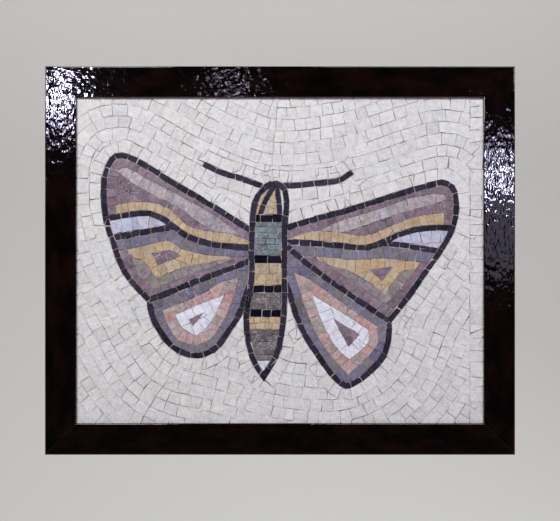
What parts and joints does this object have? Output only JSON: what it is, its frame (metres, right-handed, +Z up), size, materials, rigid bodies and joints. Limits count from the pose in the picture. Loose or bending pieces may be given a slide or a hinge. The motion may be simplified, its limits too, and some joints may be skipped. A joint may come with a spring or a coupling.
{
  "type": "mosaic panel",
  "caption": "Framed stone mosaic panel of a moth with spread wings in a cream marble field, with a flat varnished wooden frame, to hang on a wall.",
  "frame": {"origin": "middle of the flat back, which lies against the wall", "axes": "+Z up as hung, the picture faces -Y, +Y into the wall, +X to the right of a person who looks at the picture"},
  "size_m": [0.404, 0.02, 0.334],
  "materials": {
    "varnished_wood": "gloss varnish",
    "plywood": "bare",
    "mortar": "matt",
    "cream_marble": "honed",
    "black_marble": "honed",
    "mauve_stone": "honed",
    "beige_stone": "honed",
    "ochre_stone": "honed",
    "white_stone": "honed",
    "grey_stone": "honed",
    "olive_stone": "honed",
    "peach_stone": "honed",
    "teal_stone": "honed",
    "pale_stone": "honed"
  },
  "bodies": {
    "root": {"abdomen_dark_lower": "grey_stone", "abdomen_dark_upper": "grey_stone", "abdomen_ochre_lower": "ochre_stone", "abdomen_ochre_upper": "ochre_stone", "antenna_left": "black_marble", "antenna_right": "black_marble", "backing_board": "plywood", "bar_collar": "black_marble", "bar_lower_abdomen": "black_marble", "bar_upper_abdomen": "black_marble", "bar_waist": "black_marble", "body_outline": "black_marble", "brow": "ochre_stone", "cheek_left": "ochre_stone", "cheek_right": "pale_stone", "cream_field": "cream_marble", "forewing_left_beige_stripe": "beige_stone", "forewing_left_eye": "mauve_stone", "forewing_left_grey_band": "grey_stone", "forewing_left_mauve_border": "mauve_stone", "forewing_left_mauve_field": "mauve_stone", "forewing_left_ochre_ring": "ochre_stone", "forewing_left_ochre_stripe": "ochre_stone", "forewing_left_olive_border": "olive_stone", "forewing_left_outline": "black_marble", "forewing_left_veins": "black_marble", "forewing_left_white_patch": "white_stone", "forewing_right_beige_stripe": "beige_stone", "forewing_right_eye": "mauve_stone", "forewing_right_grey_band": "grey_stone", "forewing_right_mauve_border": "mauve_stone", "forewing_right_mauve_field": "mauve_stone", "forewing_right_ochre_ring": "ochre_stone", "forewing_right_ochre_stripe": "ochre_stone", "forewing_right_olive_border": "olive_stone", "forewing_right_outline": "black_marble", "forewing_right_veins": "black_marble", "forewing_right_white_patch": "white_stone", "frame_bottom_rail": "varnished_wood", "frame_left_rail": "varnished_wood", "frame_right_rail": "varnished_wood", "frame_top_rail": "varnished_wood", "head_line_left": "black_marble", "head_line_right": "black_marble", "hindwing_left_eye": "mauve_stone", "hindwing_left_grey_ring": "grey_stone", "hindwing_left_outline": "black_marble", "hindwing_left_peach_ring": "peach_stone", "hindwing_left_white_ring": "white_stone", "hindwing_right_eye": "mauve_stone", "hindwing_right_grey_ring": "grey_stone", "hindwing_right_outline": "black_marble", "hindwing_right_peach_ring": "peach_stone", "hindwing_right_white_ring": "white_stone", "mortar_bed": "mortar", "tail_tip": "pale_stone", "thorax_tesserae": "teal_stone", "wing_divider_left": "black_marble", "wing_divider_right": "black_marble"}
  },
  "joints": []
}
